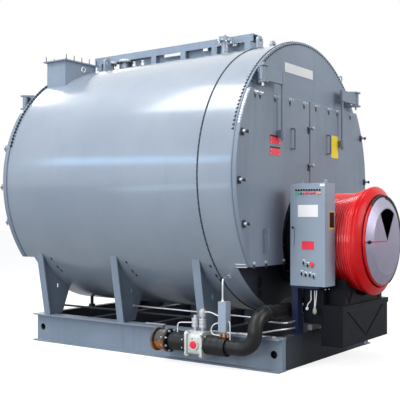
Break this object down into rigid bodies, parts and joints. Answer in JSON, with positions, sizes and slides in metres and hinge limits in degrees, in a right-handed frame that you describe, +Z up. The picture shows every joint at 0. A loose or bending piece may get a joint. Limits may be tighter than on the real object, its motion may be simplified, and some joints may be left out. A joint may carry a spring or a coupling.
{
  "type": "skid-mounted fire-tube industrial boiler",
  "caption": "Horizontal fire-tube boiler: jacketed drum on saddles and a steel skid, davit-hung front doors, ribbed burner, gas train and control cabinet.",
  "frame": {"origin": "on the ground in the middle of the skid, under the middle cross channel", "axes": "+X to the boiler's right as seen from the burner, +Y from the burner end to the rear, +Z up"},
  "size_m": [3.43, 4.961, 4.175],
  "materials": {
    "jacket_grey": "gloss enamel",
    "door_grey": "satin enamel",
    "skid_grey": "satin enamel",
    "shadow_grey": "satin enamel, dark",
    "burner_red": "gloss enamel",
    "silver_sheet": "satin",
    "cast_silver": "as cast",
    "black_paint": "satin black",
    "cabinet_grey": "satin powder coat",
    "post_blue": "satin enamel",
    "pipe_black": "oiled black pipe"
  },
  "bodies": {
    "boiler": {"air_box": "black_paint", "burner_body": "burner_red", "burner_duct": "black_paint", "burner_flare_ring": "burner_red", "burner_gas_pipe": "pipe_black", "burner_inlet_disc": "silver_sheet", "burner_neck": "burner_red", "burner_plate": "black_paint", "burner_throat": "black_paint", "cabinet_body": "cabinet_grey", "cabinet_post": "post_blue", "davit_brackets": "door_grey", "drain_valve": "pipe_black", "drum_jacket_front": "jacket_grey", "drum_jacket_main": "jacket_grey", "drum_saddles": "skid_grey", "flue_outlet": "skid_grey", "front_dome_plate": "door_grey", "front_flange": "door_grey", "front_smokebox": "jacket_grey", "front_tube_sheet": "shadow_grey", "gas_actuators": "silver_sheet", "gas_control_valve": "cast_silver", "gas_end_valve": "pipe_black", "gas_inlet_spool": "pipe_black", "gas_inlet_valve": "pipe_black", "gas_outlet_pipe": "pipe_black", "junction_box": "cabinet_grey", "lifting_eyes": "jacket_grey", "rear_davits": "door_grey", "rear_dome_plate": "door_grey", "rear_doors": "door_grey", "rear_flange": "door_grey", "rear_smokebox": "jacket_grey", "rear_tube_sheet": "shadow_grey", "seam_band": "shadow_grey", "side_conduit": "silver_sheet", "skid_beams": "skid_grey", "skid_cross_channels": "shadow_grey", "top_channel": "skid_grey", "top_nozzle": "jacket_grey"},
    "left_davit": {"left_davit": "door_grey"},
    "left_door": {"front_left_door": "door_grey"},
    "right_davit": {"right_davit": "door_grey"},
    "right_door": {"front_right_door": "door_grey"},
    "cabinet_door": {"cabinet_door": "cabinet_grey"},
    "gas_lever": {"gas_lever": "silver_sheet"}
  },
  "joints": [
    {"name": "left_davit_swing", "type": "hinge", "parent": "boiler", "child": "left_davit", "pos_m": [-1.25, -1.78, 3.37], "axis": [0, 0, -1], "range_deg": [0, 22]},
    {"name": "left_door_swivel", "type": "hinge", "parent": "left_davit", "child": "left_door", "pos_m": [-0.81, -1.78, 2.72], "axis": [0, 0, 1], "range_deg": [0, 22]},
    {"name": "right_davit_swing", "type": "hinge", "parent": "boiler", "child": "right_davit", "pos_m": [1.25, -1.78, 3.37], "axis": [0, 0, 1], "range_deg": [0, 90]},
    {"name": "right_door_swivel", "type": "hinge", "parent": "right_davit", "child": "right_door", "pos_m": [0.81, -1.78, 2.72], "axis": [0, 0, -1], "range_deg": [0, 90]},
    {"name": "cabinet_door_hinge", "type": "hinge", "parent": "boiler", "child": "cabinet_door", "pos_m": [-0.84, -2.35, 1.542], "axis": [0, 0, 1], "range_deg": [0, 110]},
    {"name": "gas_lever_turn", "type": "hinge", "parent": "boiler", "child": "gas_lever", "pos_m": [-1.42, -0.485, 0.445], "axis": [0, 0, 1], "range_deg": [0, 90]}
  ],
  "couplings": [
    {"joint": "left_door_swivel", "follows": "left_davit_swing", "ratio": 1},
    {"joint": "right_door_swivel", "follows": "right_davit_swing", "ratio": 1}
  ]
}
